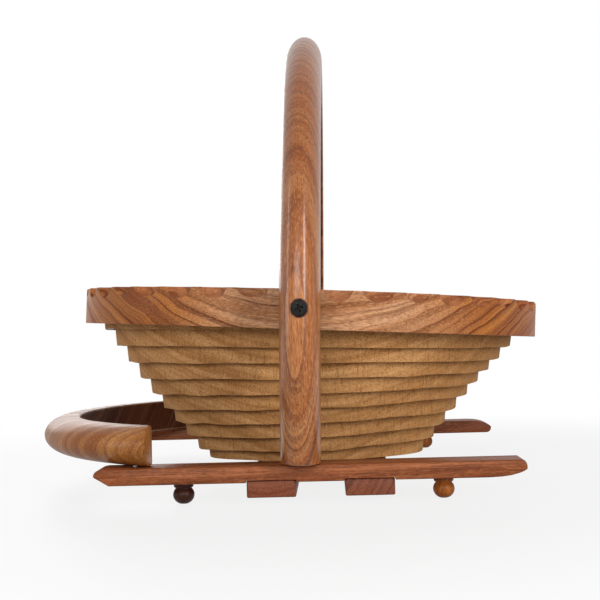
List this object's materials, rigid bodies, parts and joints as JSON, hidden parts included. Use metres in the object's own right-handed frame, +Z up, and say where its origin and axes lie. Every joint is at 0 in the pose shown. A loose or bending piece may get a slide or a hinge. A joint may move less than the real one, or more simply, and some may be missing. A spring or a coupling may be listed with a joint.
{
  "type": "wooden folding basket",
  "caption": "Round wooden basket whose board is sawn in a spiral and dropped into a stepped bowl, with a swinging hoop handle that props its rim on a low stand with ball feet.",
  "frame": {"origin": "middle of the overall box in plan, on the floor under the feet", "axes": "+X along the rails, away from the stand's hoop; +Y along the handle's pivot axis, away from the viewer; +Z up"},
  "size_m": [0.273, 0.3064, 0.2411],
  "materials": {
    "board_wood": "satin varnish over streaked brown grain",
    "hoop_wood": "satin varnish, reddish brown",
    "stand_wood": "satin varnish, dark brown",
    "foot_wood": "varnished turned wood",
    "black_screw": "black oxide",
    "steel_screw": "plain steel"
  },
  "bodies": {
    "stand": {"spiral_basket": "board_wood", "stand_hoop": "hoop_wood", "front_rail": "stand_wood", "rear_rail": "stand_wood", "left_slat": "stand_wood", "right_slat": "stand_wood", "foot_front_left": "foot_wood", "foot_front_right": "foot_wood", "foot_rear_left": "foot_wood", "foot_rear_right": "foot_wood", "pivot_screw_front": "black_screw", "pivot_screw_rear": "black_screw", "pivot_spacer_front": "black_screw", "pivot_spacer_rear": "black_screw", "rail_screw_front_left": "steel_screw", "rail_screw_front_right": "steel_screw", "rail_screw_rear_left": "steel_screw", "rail_screw_rear_right": "steel_screw", "disc_screw_front_left": "steel_screw", "disc_screw_front_right": "steel_screw", "disc_screw_rear_left": "steel_screw", "disc_screw_rear_right": "steel_screw", "hoop_screw_front": "steel_screw", "hoop_screw_rear": "steel_screw"},
    "handle": {"handle": "hoop_wood"}
  },
  "joints": [
    {"name": "handle_swing", "type": "hinge", "parent": "stand", "child": "handle", "pos_m": [0.00925, 0, 0.08865], "axis": [0, 1, 0], "range_deg": [-90, 90]}
  ]
}
